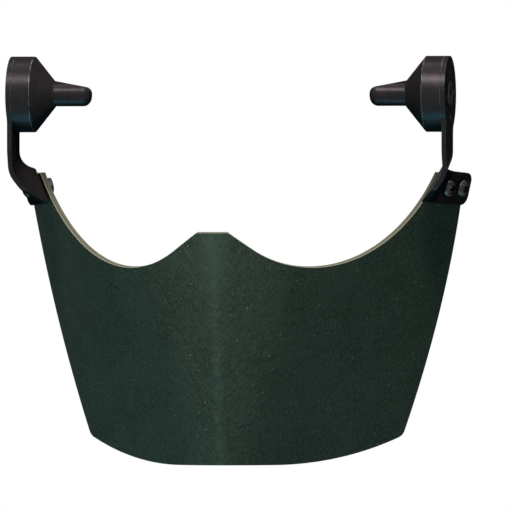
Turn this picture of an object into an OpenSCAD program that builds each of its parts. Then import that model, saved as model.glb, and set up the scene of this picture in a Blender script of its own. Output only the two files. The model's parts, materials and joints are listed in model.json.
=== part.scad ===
// Helmet mandible guard: a moulded jaw plate that hangs on two folded steel brackets, each with a
// spring-loaded latch pin in a turned, cone-shaped hub.
// Millimetres. X runs to the wearer's left, Y to the back of the head and Z up. The origin is the
// middle of the line through both latch pins. The wearer's left half is modelled, and mirrored.

/* [Helmet] */
// Distance between the end faces of the two hubs
helmet_width = 234.4; // [216:0.2:256]

/* [Jaw plate] */
// Thickness of the laminate
plate_thickness = 3.6; // [2.5:0.1:5]
// Height of the flat over the nose, below the pin axis
nose_drop = 91.6; // [84:0.5:98]
// Half width of the flat over the nose
nose_half_width = 10.6; // [6:0.2:14]
// Height of the lower edge, below the pin axis
chin_drop = 243.9; // [225:0.1:260]
// Half width of the straight part of the lower edge
chin_half_width = 31.2; // [20:0.1:36]
// Radius of the lower edge outside its straight part
chin_radius = 152; // [130:1:180]
// How far the ridge lies in front of the pin axis at the nose
ridge_reach = 75.2; // [70:0.2:84]
// How far the ridge leans back from the nose to the lower edge
ridge_lean = 36.6; // [30:0.2:46]
// Slope of the face beside the ridge at the nose
ridge_slope_nose = 6.4; // [4:0.2:12]
// Slope of the face beside the ridge at the lower edge
ridge_slope_chin = 14; // [8:0.5:18]
// Slope where the rounded front becomes the flatter cheek, at the nose
cheek_slope_nose = 44.4; // [42:0.1:47]
// Slope where the rounded front becomes the flatter cheek, at the lower edge
cheek_slope_chin = 49.1; // [48:0.1:53]
// Girth from the ridge to the cheek at the nose
front_girth_nose = 63.5; // [56:0.5:72]
// Girth from the ridge to the cheek at the lower edge
front_girth_chin = 30.6; // [24:0.5:38]
// Bend of the cheek in degrees per 100 mm of width, at the nose
cheek_bend_nose = 13.3; // [10:0.1:15]
// Bend of the cheek in degrees per 100 mm of width, at the lower edge
cheek_bend_chin = 0.5; // [0.1:0.1:3]
// Length of the straight run of the scoop, from the nose
scoop_run = 19.4; // [12:0.2:26]
// Slope of the straight run of the scoop
scoop_slope = 35.6; // [30:0.2:40]
// Pull of the scoop's curve away from the straight run
scoop_low_pull = 42.8; // [36:0.2:52]
// Pull of the scoop's curve down from its upper corner
scoop_high_pull = 65.4; // [56:0.2:76]
// Slope of the scoop at its upper corner
scoop_end_slope = 66.6; // [62:0.2:70]
// Height of the plate's top edge, below the pin axis
plate_top_drop = 52; // [50:0.5:54]
// Width of the plate's top edge beside the scoop
plate_top_width = 13.4; // [10:0.1:15]
// How far the plate's top rear corner reaches outboard of the arm's inner face
plate_flare = 3.7; // [1:0.1:5]
// How far the rear edge draws in from its top to the lower edge
rear_taper = 42.3; // [36:0.1:48]
// Outward bow of the rear edge
rear_bow = 3.9; // [0:0.1:5]
// Radius of the plate's top rear corner
rear_top_radius = 2.6; // [1.5:0.1:4]
// Radius of the plate's bottom rear corner
rear_bottom_radius = 8; // [5:0.5:14]

/* [Brackets] */
// Thickness of the steel sheet
sheet = 3; // [2:0.1:4]
// Diameter of the eye and of the hub in it
eye_diameter = 50; // [46:0.5:56]
// How far the arm's front edge lies in front of the pin axis
arm_front = 18.2; // [15:0.1:20]
// How far the arm's rear edge lies behind the pin axis
arm_rear = 12.2; // [9:0.1:15]
// Fillet between the eye and the arm
arm_fillet = 8; // [4:0.5:12]
// Height of the upper fold's line beside the pin axis, below it
fold_drop = 47; // [45:0.1:49]
// Distance from the tab's rear edge forward to the place where the upper fold's line has that height
fold_reach = 63.8; // [61:0.1:69]
// Rise of the upper fold's line towards the back
fold_rise = 21; // [16:0.5:26]
// Angle of the upper fold
fold_angle = 34.8; // [31:0.2:38]
// Inner radius of the upper fold
fold_radius = 16; // [8:0.5:18]
// Radius of the tab's fold, on the face towards the plate
tab_fold_radius = 30; // [16:0.5:32]
// Height of the tab's lower edge, below the pin axis
tab_drop = 73.3; // [70:0.1:78]
// Gap between the tab and the plate's highest point under it
tab_gap = 0.02; // [0.01:0.01:0.1]
// Height where the arm's front edge turns back towards the web, below the pin axis
arm_front_drop = 38; // [36:0.5:40]
// How far the web's front edge runs behind the arm's front edge
web_front_run = 9.2; // [8:0.1:11]
// Height of the front corner between the web and the tab, below the pin axis
web_front_drop = 63; // [61:0.5:65]
// Length of the tab's lower edge
tab_length = 57.5; // [54.5:0.1:59.5]
// Rise of the tab's lower edge from its rear corner to its front corner
tab_rise = 3; // [1:0.5:4]
// How far the web's rear corner lies in front of the tab's rear edge
web_rear_step = 19.5; // [17.5:0.1:22.5]
// Height of the web's rear corner above the plate's top edge
web_rear_rise = 1.3; // [0.5:0.1:2]
// Height of the corner between the arm's rear edge and the web, below the pin axis
arm_rear_drop = 46.4; // [45:0.1:47]

/* [Hubs and latch pins] */
// Length of the hub's cylinder
hub_rim = 12.7; // [10:0.1:14]
// Diameter of the hub's end face
hub_nose_diameter = 17.2; // [17:0.1:20]
// Bevel on both edges of the hub's cylinder
hub_bevel = 0.6; // [0.3:0.1:1]
// Diameter of the spring chamber in the hub
chamber_diameter = 24; // [22:0.2:25]
// Thickness of the hub's wall round the pin
hub_land = 5; // [4:0.1:6]
// Diameter of the latch pin
pin_diameter = 15.8; // [14:0.1:16.4]
// Reach of the latch pin out of the hub
pin_reach = 24.2; // [22:0.1:30]
// Radius on the pin's tip
pin_tip_radius = 5.6; // [4:0.1:6.4]
// Radial clearance of the pin and of its tail in their bores
running_gap = 0.08; // [0.05:0.01:0.1]
// Height of the pin's sloping top above the axis, at the hub
ramp_height = 8.8; // [8.4:0.1:9.1]
// Fall of the pin's sloping top
ramp_slope = 11; // [9:0.2:12]
// Width of the raised rib that carries the sloping top into the hub
rib_width = 6.6; // [4:0.1:8]
// Distance from the pin's tip to the fine groove round it
groove_at = 14.3; // [12:0.1:15]
// Width of the fine groove round the pin
groove_width = 0.5; // [0.3:0.1:1]
// Depth of the fine groove round the pin
groove_depth = 0.2; // [0.1:0.1:0.5]
// Thickness of the pin's flange
pin_flange = 3; // [2:0.1:4]
// Diameter of the pin's tail
tail_diameter = 9.3; // [8:0.1:10]
// How far the tail ends below the eye's outer face
tail_recess = 3.7; // [2:0.1:6]
// Travel of the latch pin into its hub
pin_travel = 9; // [5:0.5:9]
// Thickness of the spring plug's flange
plug_flange = 2; // [1.5:0.1:2.5]
// Diameter of the spring plug's neck
plug_neck_diameter = 17; // [15:0.1:19]
// How far the spring plug stands proud of the eye
plug_proud = 0.6; // [0.2:0.1:1.5]
// Diameter of the spring's wire
spring_wire = 1.2; // [0.8:0.1:1.2]
// Mean diameter of the spring
spring_diameter = 18.4; // [16:0.2:20]
// Turns of the spring
spring_turns = 4; // [3:0.5:4.5]
// Free length left between the spring's turns when the pin is pushed in
spring_slack = 2.3; // [1:0.1:3]

/* [Fasteners] */
// Diameter of the circle of hub screws
hub_screw_circle = 30; // [29:0.2:32]
// Turn of the hub screws' pattern, the rear one upwards
hub_screw_turn = 6.5; // [-20:0.5:20]
// Diameter of the hub screws' threads
hub_screw_diameter = 2.5; // [2:0.1:3]
// Diameter of the hub screws' heads
hub_head_diameter = 4; // [3.4:0.1:4.6]
// Length of the hub screws
hub_screw_length = 10; // [7:0.5:11]
// Diameter of the tab screws' threads
tab_screw_diameter = 6; // [5:0.1:6.5]
// Length of the tab screws under the head
tab_screw_length = 12; // [10:0.1:14]
// Diameter of the tab screws' heads
tab_head_diameter = 11.6; // [10:0.1:12.4]
// Height of the tab screws' heads
tab_head_height = 3.9; // [3:0.1:4.5]
// Distance between the two tab screws
tab_screw_pitch = 15.6; // [14:0.1:17]
// Distance from the plate's rear edge to the rear tab screw
tab_screw_edge = 8; // [7:0.1:10]
// Height of the tab screws, below the plate's top edge
tab_screw_step = 9.3; // [8:0.1:11]
// Diameter of the washers
washer_diameter = 12; // [11:0.1:13]
// Thickness of the washers
washer_thickness = 1; // [0.8:0.1:2]
// Width across the flats of the nuts
nut_flats = 10; // [9:0.1:11]
// Height of the nuts
nut_height = 4.6; // [4.2:0.1:6]

/* [Hidden] */
$fn = 96;

// Colours
plate_paint = [0.16, 0.22, 0.18];
blackened_steel = [0.19, 0.20, 0.21];
bright_steel = [0.45, 0.44, 0.42];

// The hub is as long as its wall, the pin's flange and travel, the closed spring and the plug need
hub_length = hub_land + pin_flange + pin_travel + spring_turns * spring_wire + spring_slack + plug_flange;

// Places along the pin axis
hub_face_x = helmet_width / 2;
arm_x = hub_face_x + hub_length;
hub_rim_x = arm_x - hub_rim;
chamber_x = hub_face_x + hub_land;
pin_tip_x = hub_face_x - pin_reach;
spring_start_x = chamber_x + pin_flange;
plug_flange_x = arm_x - plug_flange;
tail_end_x = arm_x + sheet - tail_recess;

// Clearances that nothing else names
screw_hole_gap = 0.3;
thread_gap = 0.03;
plug_gap = 0.1;
key_gap = 0.1;
seat_gap = 0.4;
cut = 1;

tab_screw_drop = plate_top_drop + tab_screw_step;

// Corners of the plate, in front view
rear_top_x = arm_x + plate_flare;
rear_top_z = -plate_top_drop;
scoop_top = [rear_top_x - plate_top_width, rear_top_z];
nose_corner = [nose_half_width, -nose_drop];
bottom_z = -chin_drop;
rear_bottom_x = rear_top_x - rear_taper;

// Number of steps in the plate's mesh
nose_steps = 2;
scoop_steps = 16;
top_steps = 3;
corner_steps = 3;
rows = 12;

function mix(a, b, t) = a + (b - a) * t;
function unit(v) = v / norm(v);

// Shape of the plate's outer face. share() is 0 at the nose and 1 at the lower edge.
function share(z) = (-z - nose_drop) / (chin_drop - nose_drop);
function ridge_y(z) = ridge_lean * share(z) - ridge_reach;
function ridge_slope(z) = mix(ridge_slope_nose, ridge_slope_chin, share(z));
function cheek_slope(z) = mix(cheek_slope_nose, cheek_slope_chin, share(z));
function front_girth(z) = mix(front_girth_nose, front_girth_chin, share(z));
function cheek_bend(z) = max(mix(cheek_bend_nose, cheek_bend_chin, share(z)), 0.1) / 100;

// Radius of an arc that turns from one slope to another along a girth
function arc_radius(girth, slope_a, slope_b) = girth / ((slope_b - slope_a) * PI / 180);
function front_radius(z) = arc_radius(front_girth(z), ridge_slope(z), cheek_slope(z));
function cheek_radius(z) = 180 / (PI * cheek_bend(z));
function front_width(z) = front_radius(z) * (sin(cheek_slope(z)) - sin(ridge_slope(z)));
function front_depth(z) = front_radius(z) * (cos(ridge_slope(z)) - cos(cheek_slope(z)));

// Depth of an arc that starts with a slope, at a distance x across it
function arc_depth(x, radius, slope) = radius * (cos(slope) - cos(asin(min(1, sin(slope) + x / radius))));
function face_depth(x, z) = x < front_width(z)
    ? arc_depth(x, front_radius(z), ridge_slope(z))
    : front_depth(z) + arc_depth(x - front_width(z), cheek_radius(z), cheek_slope(z));
function outer_point(x, z) = [x, ridge_y(z) + face_depth(abs(x), z), z];

// Outward normal of the outer face, from the slopes across and down it
probe = 0.01;
function face_normal(x, z) =
    let (across = (outer_point(x + probe, z) - outer_point(x - probe, z))[1] / (2 * probe))
    let (down = (outer_point(x, z + probe) - outer_point(x, z - probe))[1] / (2 * probe))
    unit([across, -1, down]);
function inner_point(x, z) = outer_point(x, z) - plate_thickness * face_normal(x, z);

// Edges of the plate in front view, as points [x, z] from the middle outwards
function bezier(a, b, c, d, t) =
    pow(1 - t, 3) * a + 3 * t * pow(1 - t, 2) * b + 3 * t * t * (1 - t) * c + pow(t, 3) * d;
scoop_start = nose_corner + scoop_run * [cos(scoop_slope), -sin(scoop_slope)];
scoop_low = scoop_start + scoop_low_pull * [cos(scoop_slope), -sin(scoop_slope)];
scoop_high = scoop_top - scoop_high_pull * [cos(scoop_end_slope), sin(scoop_end_slope)];

// The scoop's straight run takes its own share of the steps
run_steps = 3;
function scoop_point(i) = i <= run_steps
    ? mix(nose_corner, scoop_start, i / run_steps)
    : bezier(scoop_start, scoop_low, scoop_high, scoop_top, (i - run_steps) / (scoop_steps - run_steps));

// Arc that rounds the corner b of the path a, b, c, as points from the side of a to the side of c
function rounded(a, b, c, radius, steps) =
    let (to_a = unit(a - b))
    let (to_c = unit(c - b))
    let (half = acos(to_a * to_c) / 2)
    let (centre = b + unit(to_a + to_c) * radius / sin(half))
    let (start = b + to_a * radius / tan(half) - centre)
    let (end = b + to_c * radius / tan(half) - centre)
    let (turn = 180 - 2 * half)
    [for (i = [0 : steps])
        centre + (start * sin(turn * (1 - i / steps)) + end * sin(turn * i / steps)) / sin(turn)];

rear_bottom_z = bottom_z + chin_radius - sqrt(pow(chin_radius, 2) - pow(rear_bottom_x - chin_half_width, 2));
rear_height = rear_top_z - rear_bottom_z;
rear_end_slope = atan((rear_taper + 4 * rear_bow) / rear_height);
chin_end_slope = asin((rear_bottom_x - chin_half_width) / chin_radius);
rear_top_corner = [rear_top_x, rear_top_z];
rear_bottom_corner = [rear_bottom_x, rear_bottom_z];
top_arc = rounded(scoop_top, rear_top_corner,
    rear_top_corner - [sin(rear_end_slope), cos(rear_end_slope)], rear_top_radius, corner_steps);
bottom_arc = rounded(rear_bottom_corner - [cos(chin_end_slope), sin(chin_end_slope)], rear_bottom_corner,
    rear_bottom_corner + [sin(rear_end_slope), cos(rear_end_slope)], rear_bottom_radius, corner_steps);

top_edge = concat(
    [for (i = [0 : nose_steps - 1]) [nose_half_width * i / nose_steps, -nose_drop]],
    [for (i = [0 : scoop_steps - 1]) scoop_point(i)],
    [for (i = [0 : top_steps - 1]) mix(scoop_top, top_arc[0], i / top_steps)],
    top_arc
);
columns = len(top_edge) - 1;
free_columns = columns - corner_steps;

function chin_z(x) = x < chin_half_width
    ? bottom_z
    : bottom_z + chin_radius - sqrt(pow(chin_radius, 2) - pow(x - chin_half_width, 2));
function chin_x(i) = bottom_arc[0][0] * top_edge[i][0] / top_arc[0][0];
bottom_edge = concat([for (i = [0 : free_columns - 1]) [chin_x(i), chin_z(chin_x(i))]], bottom_arc);

// Place in front view at column i, counted from the ridge, and at t, 0 on the top edge and 1 below
function bow(i, t) = rear_bow * pow(bottom_edge[i][0] / bottom_edge[columns][0], 2) * 4 * t * (1 - t);
function front_place(i, t) = mix(top_edge[i], bottom_edge[i], t) + [bow(i, t), 0];

function flip(p) = [-p[0], p[1], p[2]];
function outer_at(i, t) = let (q = front_place(abs(i), t), p = outer_point(q[0], q[1])) i < 0 ? flip(p) : p;
function inner_at(i, t) = let (q = front_place(abs(i), t), p = inner_point(q[0], q[1])) i < 0 ? flip(p) : p;

// Frame of the steel sheet: three flat planes, each with an outward normal and a place along it
arm_normal = [1, 0, 0];
web_normal = [cos(fold_angle), sin(fold_angle) * sin(fold_rise), -sin(fold_angle) * cos(fold_rise)];

// The tab lies on the plate's outer face, along its rear edge
function rear_x(z) = let (t = (rear_top_z - z) / rear_height)
    mix(rear_top_x, rear_bottom_x, t) + rear_bow * 4 * t * (1 - t);
tab_rear_y = outer_point(rear_x(-tab_screw_drop), -tab_screw_drop)[1];
web_place = web_normal * [arm_x, tab_rear_y - fold_reach, -fold_drop];
tab_top_rear = outer_point(rear_top_x, rear_top_z);
tab_low_rear = outer_point(rear_x(-tab_drop), -tab_drop);
tab_front = outer_point(scoop_top[0], -tab_screw_drop);
tab_normal = unit(cross(tab_low_rear - tab_top_rear, tab_top_rear + tab_low_rear - 2 * tab_front));
tab_rearwards = unit([-tab_normal[1], tab_normal[0], 0]);
tab_place = tab_gap + max([
    for (z = [-tab_drop : 3 : rear_top_z]) for (s = [0 : 0.25 : 1])
        tab_normal * outer_point(mix(scoop_top[0], rear_x(z), s), z)
]);
function on_tab(y, z) = [(tab_place - tab_normal[1] * y - tab_normal[2] * z) / tab_normal[0], y, z];
rear_screw = on_tab(tab_rear_y - tab_screw_edge * tab_rearwards[1], -tab_screw_drop);
tab_screws_at = [rear_screw - tab_screw_pitch * tab_rearwards, rear_screw];
washer_place = seat_gap - plate_thickness;
nut_place = washer_place - washer_thickness;

// Outline of the folded sheet in side view: points [y, z, corner radius] below the eye, from the
// front of the arm round the web and the tab to the rear of the arm
easy_corner = 20;
tab_corner = 6;
tight_corner = 4;
arm_rear_corner = 10;
bracket_outline = [
    [-arm_front, -arm_front_drop, easy_corner],
    [web_front_run - arm_front, -web_front_drop, tight_corner],
    [tab_rear_y - tab_length, tab_rise - tab_drop, easy_corner],
    [tab_rear_y, -tab_drop, tab_corner],
    [tab_rear_y, rear_top_z, tab_corner],
    [tab_rear_y - web_rear_step, rear_top_z + web_rear_rise, tab_corner],
    [arm_rear, -arm_rear_drop, arm_rear_corner]
];
outline_steps = 6;

// Fillet between the eye and a straight edge at a distance y beside the axis, as an arc of points
function arm_fillet_centre(y) =
    let (centre_y = y + sign(y) * arm_fillet)
    [centre_y, -sqrt(pow(eye_diameter / 2 + arm_fillet, 2) - pow(centre_y, 2))];
function arm_fillet_points(y) =
    let (centre = arm_fillet_centre(y))
    let (span = atan(abs(centre[1] / centre[0])))
    [for (i = [0 : outline_steps])
        let (turn = span * (1 - i / outline_steps))
        centre + arm_fillet * [-sign(y) * cos(turn), sin(turn)]];

function flat(p) = [p[0], p[1]];
function arm_outline() =
    let (front = arm_fillet_points(-arm_front), rear = arm_fillet_points(arm_rear))
    let (path = concat([[-arm_front, 0, 0]], bracket_outline, [[arm_rear, 0, 0]]))
    concat(
        [[0, 0]],
        front,
        [for (i = [1 : len(path) - 2])
            each rounded(flat(path[i - 1]), flat(path[i]), flat(path[i + 1]), path[i][2], outline_steps)],
        [for (i = [outline_steps : -1 : 0]) rear[i]]
    );

// Left half: along the pin axis, Z of a child points to the wearer's left
module along_axis() {
    rotate([0, 90, 0]) children();
}

module mirrored() {
    mirror([1, 0, 0]) children();
}

// Puts a child's X axis along x_axis and its Z axis along z_axis, at a place
module framed(place, x_axis, z_axis) {
    y_axis = cross(z_axis, x_axis);
    multmatrix([
        [x_axis[0], y_axis[0], z_axis[0], place[0]],
        [x_axis[1], y_axis[1], z_axis[1], place[1]],
        [x_axis[2], y_axis[2], z_axis[2], place[2]],
        [0, 0, 0, 1]
    ]) children();
}

// Puts a child on the tab at a screw, with Z outwards
module at_tab_screw(place) {
    framed(place, tab_rearwards, tab_normal) children();
}

// Plate: a grid of points on the outer face and one on the inner face, joined round the edges, so
// that the cut edges stand square to the face
module plate_solid() {
    wide = 2 * columns + 1;
    layer = wide * (rows + 1);
    outer = [for (r = [0 : rows]) for (i = [-columns : columns]) outer_at(i, r / rows)];
    inner = [for (r = [0 : rows]) for (i = [-columns : columns]) inner_at(i, r / rows)];
    function quad(a, b, c, d) = [[a, b, c], [a, c, d]];
    faces = concat(
        [for (r = [0 : rows - 1]) for (c = [0 : wide - 2]) let (k = r * wide + c)
            each quad(k, k + 1, k + 1 + wide, k + wide)],
        [for (r = [0 : rows - 1]) for (c = [0 : wide - 2]) let (k = layer + r * wide + c)
            each quad(k, k + wide, k + 1 + wide, k + 1)],
        [for (c = [0 : wide - 2]) each quad(c, c + layer, c + 1 + layer, c + 1)],
        [for (c = [0 : wide - 2]) let (k = rows * wide + c)
            each quad(k, k + 1, k + 1 + layer, k + layer)],
        [for (r = [0 : rows - 1]) let (k = r * wide)
            each quad(k, k + wide, k + wide + layer, k + layer)],
        [for (r = [0 : rows - 1]) let (k = r * wide + wide - 1)
            each quad(k, k + layer, k + wide + layer, k + wide)]
    );
    polyhedron(points = concat(outer, inner), faces = faces, convexity = 6);
}

// Holes for the tab screws, and flat seats for the washers in the plate's curved inner face
module plate_holes() {
    for (place = tab_screws_at) at_tab_screw(place) {
        translate([0, 0, -plate_thickness * 2])
            cylinder(d = tab_screw_diameter + 2 * screw_hole_gap, h = plate_thickness * 3);
        translate([0, 0, washer_place - plate_thickness])
            cylinder(d = washer_diameter + 2 * seat_gap, h = plate_thickness);
    }
}

module jaw_plate() {
    color(plate_paint) difference() {
        plate_solid();
        plate_holes();
        mirrored() plate_holes();
    }
}

// Longer than the whole part, for half spaces and the cuts through them
reach = 2 * helmet_width;

// Half space behind a plane
module behind(normal, place) {
    translate(normal * place)
        rotate([0, acos(normal[2]), atan2(normal[1], normal[0])])
            translate([-reach / 2, -reach / 2, -reach]) cube(reach);
}

// Bar that fills the corner between a bend's cylinder and the two flat faces that it joins. The
// cylinder's axis lies at the same distance from both planes.
module bend_corner(normal_a, place_a, normal_b, place_b, radius) {
    bend = acos(normal_a * normal_b);
    line = unit(cross(normal_a, normal_b));
    axis = (place_a * cross(normal_b, line) + place_b * cross(line, normal_a))
        / (normal_a * cross(normal_b, line));
    past = radius * 1.2;
    framed(axis, normal_a, line)
        linear_extrude(height = reach, center = true)
            difference() {
                polygon([[0, 0], [past, 0], [past, past * tan(bend / 2)], [past * cos(bend), past * sin(bend)]]);
                circle(r = radius);
            }
}

// Space inboard of the sheet's face at a depth, 0 for the inner face and sheet for the outer one.
// The tab and its bend stay below the eye.
module inboard(depth) {
    difference() {
        intersection() {
            behind(arm_normal, arm_x + depth);
            behind(web_normal, web_place + depth);
        }
        bend_corner(arm_normal, arm_x - fold_radius, web_normal, web_place - fold_radius, fold_radius + depth);
    }
    intersection() {
        union() {
            behind(tab_normal, tab_place + depth);
            bend_corner(-web_normal, -web_place - tab_fold_radius, -tab_normal, -tab_place - tab_fold_radius,
                tab_fold_radius - depth);
        }
        behind([0, 0, 1], -eye_diameter / 2);
    }
}

module bracket() {
    color(blackened_steel) difference() {
        intersection() {
            difference() {
                inboard(sheet);
                inboard(0);
            }
            // The side view's outline: its X is the part's Y, and its Y is the part's Z
            framed([arm_x, 0, 0], [0, 1, 0], [1, 0, 0])
                linear_extrude(height = reach, center = true) {
                    circle(d = eye_diameter);
                    polygon(arm_outline());
                }
        }
        along_axis() translate([0, 0, arm_x - cut])
            cylinder(d = plug_neck_diameter + 2 * plug_gap, h = sheet + 2 * cut);
        at_hub_screws() hub_screw_hole();
        for (place = tab_screws_at) at_tab_screw(place)
            translate([0, 0, -cut])
                cylinder(d = tab_screw_diameter + 2 * screw_hole_gap, h = sheet + 2 * cut);
    }
}

// Four places on the eye's outer face, with Z outwards
module at_hub_screws() {
    for (i = [0 : 3]) rotate([hub_screw_turn + 90 * i, 0, 0])
        translate([arm_x + sheet, hub_screw_circle / 2, 0])
            along_axis() children();
}

hub_head_depth = (hub_head_diameter - hub_screw_diameter) / 2;

// Hole through the eye with a countersink that the head fills
module hub_screw_hole() {
    translate([0, 0, -sheet - cut]) cylinder(d = hub_screw_diameter + 2 * plug_gap, h = sheet + 2 * cut);
    translate([0, 0, -hub_head_depth])
        cylinder(d1 = hub_screw_diameter + 2 * plug_gap, d2 = hub_head_diameter + 2 * plug_gap,
            h = hub_head_depth + plug_gap);
}

module hub_housing() {
    rim = eye_diameter / 2;
    mouth = pin_diameter / 2 + running_gap;
    color(blackened_steel) difference() {
        along_axis() rotate_extrude() polygon([
            [mouth, hub_face_x],
            [hub_nose_diameter / 2, hub_face_x],
            [rim - hub_bevel, hub_rim_x],
            [rim, hub_rim_x + hub_bevel],
            [rim, arm_x - hub_bevel],
            [rim - hub_bevel, arm_x],
            [chamber_diameter / 2, arm_x],
            [chamber_diameter / 2, chamber_x],
            [mouth, chamber_x]
        ]);
        // Keyway for the pin's rib
        translate([hub_face_x - cut, -rib_width / 2 - key_gap, 0])
            cube([hub_land + 2 * cut, rib_width + 2 * key_gap, ramp_height + key_gap]);
        at_hub_screws() translate([0, 0, -hub_screw_length - cut])
            cylinder(d = hub_screw_diameter + 2 * thread_gap, h = hub_screw_length + cut);
    }
}

// Side view of the pin below its sloping top, with a round corner at the tip, and clear of its flange
module pin_side_2d() {
    corner = [pin_tip_x + pin_tip_radius,
        ramp_height - (pin_reach - pin_tip_radius) * tan(ramp_slope) - pin_tip_radius / cos(ramp_slope)];
    translate(corner) circle(r = pin_tip_radius);
    polygon([
        [pin_tip_x, -chamber_diameter],
        [tail_end_x + cut, -chamber_diameter],
        [tail_end_x + cut, chamber_diameter],
        [chamber_x, chamber_diameter],
        [chamber_x, ramp_height + hub_land * tan(ramp_slope)],
        corner + pin_tip_radius * [-sin(ramp_slope), cos(ramp_slope)],
        corner,
        [pin_tip_x, corner[1]]
    ]);
}

// Half section of the pin with its round tip, fine groove, flange and tail
module pin_section_2d() {
    pin = pin_diameter / 2;
    flange = chamber_diameter / 2 - running_gap;
    round_from = pin_tip_x + pin_tip_radius;
    flange_end = chamber_x + pin_flange;
    difference() {
        union() {
            intersection() {
                translate([pin - pin_tip_radius, round_from]) circle(r = pin_tip_radius);
                translate([0, pin_tip_x]) square([pin, 2 * pin_tip_radius]);
            }
            translate([0, pin_tip_x]) square([pin - pin_tip_radius, pin_reach]);
            translate([0, round_from]) square([pin, flange_end - round_from]);
            translate([0, chamber_x]) square([flange, pin_flange]);
            translate([0, chamber_x]) square([tail_diameter / 2, tail_end_x - chamber_x]);
        }
        translate([pin - groove_depth, pin_tip_x + groove_at]) square([pin, groove_width]);
    }
}

module latch_pin() {
    rib_start = pin_tip_x + groove_at + groove_width;
    color(blackened_steel) intersection() {
        union() {
            along_axis() rotate_extrude() pin_section_2d();
            // Raised rib, which keeps the pin from turning in the hub
            translate([rib_start, -rib_width / 2, 0])
                cube([chamber_x + pin_flange / 2 - rib_start, rib_width, ramp_height]);
        }
        rotate([90, 0, 0]) linear_extrude(height = 2 * chamber_diameter, center = true) pin_side_2d();
    }
}

module spring_plug() {
    bore = tail_diameter / 2 + running_gap;
    neck = plug_neck_diameter / 2;
    flange = chamber_diameter / 2 - running_gap;
    face = arm_x + sheet + plug_proud;
    color(bright_steel) along_axis() rotate_extrude() polygon([
        [bore, plug_flange_x],
        [flange, plug_flange_x],
        [flange, arm_x],
        [neck, arm_x],
        [neck, face - plug_proud],
        [neck - plug_proud, face],
        [bore, face]
    ]);
}

// Compression spring: a round wire swept along a helix, 16 rings a turn and 8 sides
module latch_spring() {
    sides = 8;
    rings = round(16 * spring_turns);
    start = spring_start_x + spring_wire / 2;
    end = plug_flange_x - spring_wire / 2;
    points = [
        for (i = [0 : rings])
            let (turn = 360 * spring_turns * i / rings)
            for (j = [0 : sides - 1])
                let (side = 360 * (j + 0.5) / sides)
                let (radius = spring_diameter / 2 + spring_wire / 2 * cos(side))
                [mix(start, end, i / rings) + spring_wire / 2 * sin(side), radius * cos(turn), radius * sin(turn)]
    ];
    walls = [
        for (i = [0 : rings - 1]) for (j = [0 : sides - 1])
            let (a = i * sides + j, b = i * sides + (j + 1) % sides)
            each [[a, a + sides, b], [b, a + sides, b + sides]]
    ];
    first_end = [for (j = [0 : sides - 1]) j];
    last_end = [for (j = [sides - 1 : -1 : 0]) rings * sides + j];
    color(bright_steel) polyhedron(points = points, faces = concat([first_end], walls, [last_end]), convexity = 10);
}

// Countersunk screws, flush with the eye, with a socket
module hub_screws() {
    color(bright_steel) at_hub_screws() difference() {
        union() {
            translate([0, 0, -hub_screw_length]) cylinder(d = hub_screw_diameter, h = hub_screw_length);
            translate([0, 0, -hub_head_depth])
                cylinder(d1 = hub_screw_diameter, d2 = hub_head_diameter, h = hub_head_depth);
        }
        translate([0, 0, -hub_head_depth]) cylinder(d = hub_screw_diameter * 0.6, h = hub_head_depth + cut, $fn = 6);
    }
}

// Domed pan head with a cross recess
module tab_screw(turn) {
    recess_length = tab_head_diameter * 0.44;
    recess_width = tab_head_diameter * 0.11;
    recess_depth = tab_head_height * 0.55;
    rim = tab_head_height * 0.35;
    head = tab_head_diameter / 2;
    dome = tab_head_height - rim;
    dome_radius = (pow(head, 2) + pow(dome, 2)) / (2 * dome);
    translate([0, 0, sheet - tab_screw_length]) cylinder(d = tab_screw_diameter, h = tab_screw_length);
    translate([0, 0, sheet]) difference() {
        rotate_extrude() intersection() {
            square([head, tab_head_height]);
            translate([0, tab_head_height - dome_radius]) circle(r = dome_radius);
        }
        for (quarter = [0, 90]) rotate([0, 0, turn + quarter])
            translate([-recess_length / 2, -recess_width / 2, tab_head_height - recess_depth])
                cube([recess_length, recess_width, recess_depth + cut]);
    }
}

recess_turns = [10, 45];

module tab_screws() {
    color(bright_steel) for (i = [0, 1])
        at_tab_screw(tab_screws_at[i]) tab_screw(recess_turns[i]);
}

module tab_washers() {
    color(bright_steel) for (place = tab_screws_at) at_tab_screw(place)
        translate([0, 0, nut_place]) difference() {
            cylinder(d = washer_diameter, h = washer_thickness);
            translate([0, 0, -cut])
                cylinder(d = tab_screw_diameter + 2 * screw_hole_gap, h = washer_thickness + 2 * cut);
        }
}

// Hexagon nut with a chamfer on its outer face, and its thread as a plain bore
module nut() {
    corners = nut_flats / cos(30);
    chamfer = (corners - nut_flats) / 2;
    difference() {
        translate([0, 0, -nut_height]) intersection() {
            cylinder(d = corners, h = nut_height, $fn = 6);
            union() {
                cylinder(d1 = nut_flats, d2 = corners, h = chamfer);
                translate([0, 0, chamfer]) cylinder(d = corners, h = nut_height - chamfer);
            }
        }
        translate([0, 0, -nut_height - cut])
            cylinder(d = tab_screw_diameter + 2 * thread_gap, h = nut_height + 2 * cut);
    }
}

module nuts() {
    color(bright_steel) for (place = tab_screws_at) at_tab_screw(place)
        translate([0, 0, nut_place]) nut();
}

jaw_plate();
bracket();  // left_bracket
mirrored() bracket();  // right_bracket
hub_housing();  // left_hub_housing
mirrored() hub_housing();  // right_hub_housing
latch_pin();  // left_latch_pin
mirrored() latch_pin();  // right_latch_pin
latch_spring();  // left_latch_spring
mirrored() latch_spring();  // right_latch_spring
spring_plug();  // left_spring_plug
mirrored() spring_plug();  // right_spring_plug
hub_screws();  // left_hub_screws
mirrored() hub_screws();  // right_hub_screws
tab_screws();  // left_tab_screws
mirrored() tab_screws();  // right_tab_screws
tab_washers();  // left_tab_washers
mirrored() tab_washers();  // right_tab_washers
nuts();  // left_nuts
mirrored() nuts();  // right_nuts
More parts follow.
